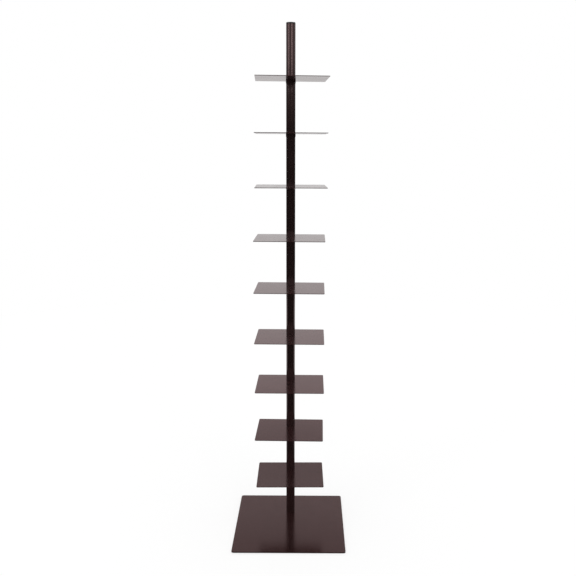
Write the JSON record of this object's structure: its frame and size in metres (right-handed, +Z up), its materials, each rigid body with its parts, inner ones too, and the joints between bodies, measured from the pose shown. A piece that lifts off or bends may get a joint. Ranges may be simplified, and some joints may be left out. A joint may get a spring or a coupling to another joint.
{
  "type": "spine bookshelf",
  "caption": "Free-standing spine bookshelf: a slim round column on a square base plate, with thin cantilevered shelf plates gripped between its screwed sections.",
  "frame": {"origin": "on the floor, under the centre of the square base plate", "axes": "+Z up along the spine, -Y towards the front, where the books go in, +X to the right seen from the front"},
  "size_m": [0.4, 0.4, 1.802],
  "materials": {
    "base_paint": "glossy dark red-brown paint",
    "shelf_paint": "glossy dark red-brown paint",
    "spine_paint": "glossy dark red-brown paint",
    "collar_paint": "satin dark paint",
    "plug_steel": "turned, bare",
    "screw_steel": "zinc plated",
    "floor_pads": "matt",
    "cap_plastic": "gloss"
  },
  "bodies": {
    "root": {"base_pads": "floor_pads", "base_plate": "base_paint", "foot_screw": "screw_steel", "spine_plug_1": "plug_steel", "spine_tube_1": "spine_paint", "spine_plug_2": "plug_steel", "spine_tube_2": "spine_paint", "spine_plug_3": "plug_steel", "spine_tube_3": "spine_paint", "spine_plug_4": "plug_steel", "spine_tube_4": "spine_paint", "spine_plug_5": "plug_steel", "spine_tube_5": "spine_paint", "spine_plug_6": "plug_steel", "spine_tube_6": "spine_paint", "spine_plug_7": "plug_steel", "spine_tube_7": "spine_paint", "spine_plug_8": "plug_steel", "spine_tube_8": "spine_paint", "spine_plug_9": "plug_steel", "spine_tube_9": "spine_paint", "spine_plug_10": "plug_steel", "spine_tube_10": "spine_paint", "spine_collar_1": "collar_paint", "shelf_1": "shelf_paint", "spine_collar_2": "collar_paint", "shelf_2": "shelf_paint", "spine_collar_3": "collar_paint", "shelf_3": "shelf_paint", "spine_collar_4": "collar_paint", "shelf_4": "shelf_paint", "spine_collar_5": "collar_paint", "shelf_5": "shelf_paint", "spine_collar_6": "collar_paint", "shelf_6": "shelf_paint", "spine_collar_7": "collar_paint", "shelf_7": "shelf_paint", "spine_collar_8": "collar_paint", "shelf_8": "shelf_paint", "spine_collar_9": "collar_paint", "shelf_9": "shelf_paint", "joining_studs": "screw_steel", "top_cap": "cap_plastic"}
  },
  "joints": []
}
